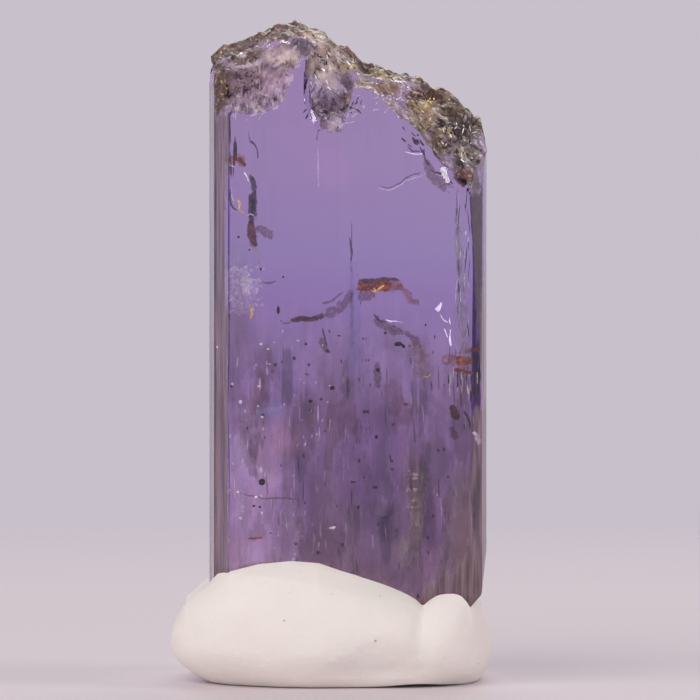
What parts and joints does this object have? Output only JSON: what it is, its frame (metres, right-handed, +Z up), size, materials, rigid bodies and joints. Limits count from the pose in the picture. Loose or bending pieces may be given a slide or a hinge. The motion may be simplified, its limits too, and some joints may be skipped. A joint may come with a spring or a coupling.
{
  "type": "tanzanite crystal",
  "caption": "Rough violet-blue tanzanite crystal, an etched and striated prism with a broken top, standing upright in a flattened blob of white mounting putty.",
  "frame": {"origin": "on the flat underside of the putty, under the crystal", "axes": "+Z up along the crystal's length; the broad front face of the crystal looks along -Y"},
  "size_m": [0.014, 0.0118, 0.0288],
  "materials": {
    "crystal": "gloss",
    "putty": "satin"
  },
  "bodies": {
    "root": {"tanzanite_crystal": "crystal", "mounting_putty": "putty"}
  },
  "joints": []
}
